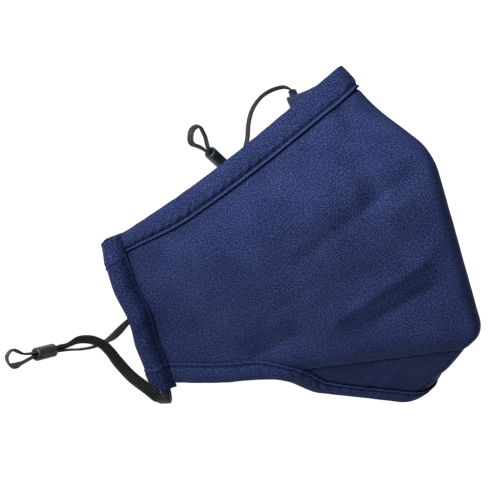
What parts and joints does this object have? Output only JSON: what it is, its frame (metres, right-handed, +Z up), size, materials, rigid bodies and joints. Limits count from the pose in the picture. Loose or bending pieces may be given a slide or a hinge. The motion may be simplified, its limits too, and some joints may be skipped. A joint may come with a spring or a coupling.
{
  "type": "cloth face mask",
  "caption": "Folded cloth face mask that stands open like a tent on its ear sides, with elastic ear loops and soft cord locks.",
  "frame": {"origin": "middle of the cloth's footprint on the surface that the mask stands on, without the ear loops", "axes": "+Z up from the surface to the folded front, +X from the left ear side to the right one, +Y from the nose edge to the chin"},
  "size_m": [0.2079, 0.1554, 0.1279],
  "materials": {
    "panel_cloth": "matt woven cotton, navy",
    "chin_cloth": "matt woven cotton, navy",
    "hem_cloth": "folded and stitched woven cotton, navy",
    "casing_cloth": "folded and stitched woven cotton, navy",
    "elastic": "flat braided elastic, black",
    "silicone": "matt dark grey silicone"
  },
  "bodies": {
    "root": {"main_panel": "panel_cloth", "chin_panel": "chin_cloth", "nose_hem": "hem_cloth", "chin_hem": "hem_cloth", "side_casing_right": "casing_cloth", "side_casing_left": "casing_cloth", "ear_loop_right": "elastic", "ear_loop_left": "elastic", "cord_lock_right": "silicone", "cord_lock_left": "silicone"}
  },
  "joints": []
}
